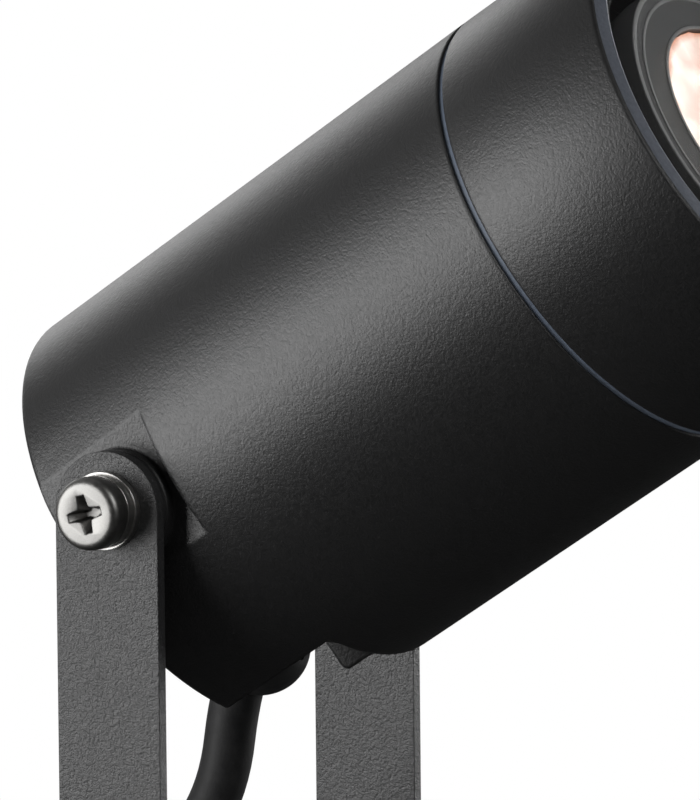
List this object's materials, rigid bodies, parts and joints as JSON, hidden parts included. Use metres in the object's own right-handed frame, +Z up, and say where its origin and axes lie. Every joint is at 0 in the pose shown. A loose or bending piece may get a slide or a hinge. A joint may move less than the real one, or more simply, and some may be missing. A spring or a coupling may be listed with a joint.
{
  "type": "garden spike spotlight",
  "caption": "Round spotlight head that tilts on a strip bracket over a ribbed ground spike, with a glass front ring, a reflector lamp, a cable gland and a plugged cable.",
  "frame": {"origin": "tip of the ground spike, on the spike's axis", "axes": "+Z up along the spike, +X to the side that the head aims at, the tilt axis along Y"},
  "size_m": [0.2748, 0.1576, 0.3424],
  "materials": {
    "coat": "anthracite fine-textured powder coat",
    "seal": "blue-grey silicone",
    "black_rubber": "matt rubber",
    "glass": "clear tempered",
    "lamp_shell": "light grey",
    "stainless": "stainless steel",
    "nickel": "nickel plated",
    "brass": "brass",
    "ceramic": "steatite ceramic",
    "black_plastic": "moulded polyamide",
    "brown_insulation": "core insulation",
    "white_insulation": "silicone sleeve",
    "earth_insulation": "green and yellow"
  },
  "bodies": {
    "spike": {"ground_spike": "black_plastic", "thread_insert": "brass", "base_bolt": "stainless", "base_washer": "stainless", "base_spring_washer": "stainless"},
    "bracket": {"bracket": "coat", "flat_washers": "stainless", "cable_drop": "black_rubber", "cable_coil": "black_rubber", "cable_end": "black_rubber", "plug_sleeve": "black_rubber", "plug_body": "black_rubber", "plug_pins": "nickel", "plug_earth_clips": "nickel"},
    "head": {"head_housing": "coat", "pivot_screws": "stainless", "spring_washers": "stainless", "friction_washers": "black_plastic", "gland_nut": "black_plastic", "gland_body": "black_plastic", "gland_seal": "black_rubber", "gland_locknut": "black_plastic", "cable_tail": "black_rubber", "terminal_block": "black_plastic", "terminal_screws": "stainless", "supply_leads": "brown_insulation", "holder_leads": "white_insulation", "earth_lead": "earth_insulation", "earth_lug": "stainless", "earth_screw": "stainless", "lamp_holder": "ceramic", "holder_plate": "stainless", "holder_screws": "stainless", "holder_rivets": "stainless"},
    "lamp": {"lamp_body": "lamp_shell", "lamp_lens": "glass", "lamp_pins": "nickel"},
    "seal": {"bezel_seal": "seal"},
    "bezel": {"front_bezel": "coat", "front_glass": "glass", "glass_gasket": "black_rubber", "glass_retainer": "black_plastic"}
  },
  "joints": [
    {"name": "bracket_swivel", "type": "hinge", "parent": "spike", "child": "bracket", "pos_m": [0, 0, 0.174], "axis": [0, 0, 1], "range_deg": [-180, 180]},
    {"name": "head_tilt", "type": "hinge", "parent": "bracket", "child": "head", "pos_m": [0, 0, 0.251], "axis": [0, -1, 0], "range_deg": [-78, 56.5], "deforming": ["cable_drop"]},
    {"name": "lamp_twist", "type": "hinge", "parent": "head", "child": "lamp", "pos_m": [0.04184, 0, 0.27838], "axis": [0.8368, 0, 0.5476], "range_deg": [0, 20]},
    {"name": "bezel_travel", "type": "slide", "parent": "head", "child": "seal", "axis": [0.8368, 0, 0.5476], "range_m": [0, 0.0081]},
    {"name": "bezel_turn", "type": "hinge", "parent": "seal", "child": "bezel", "pos_m": [0.07531, 0, 0.30028], "axis": [0.8368, 0, 0.5476], "range_deg": [0, 720]}
  ],
  "couplings": [
    {"joint": "bezel_travel", "follows": "bezel_turn", "m_per_rad": 0.00063662}
  ]
}
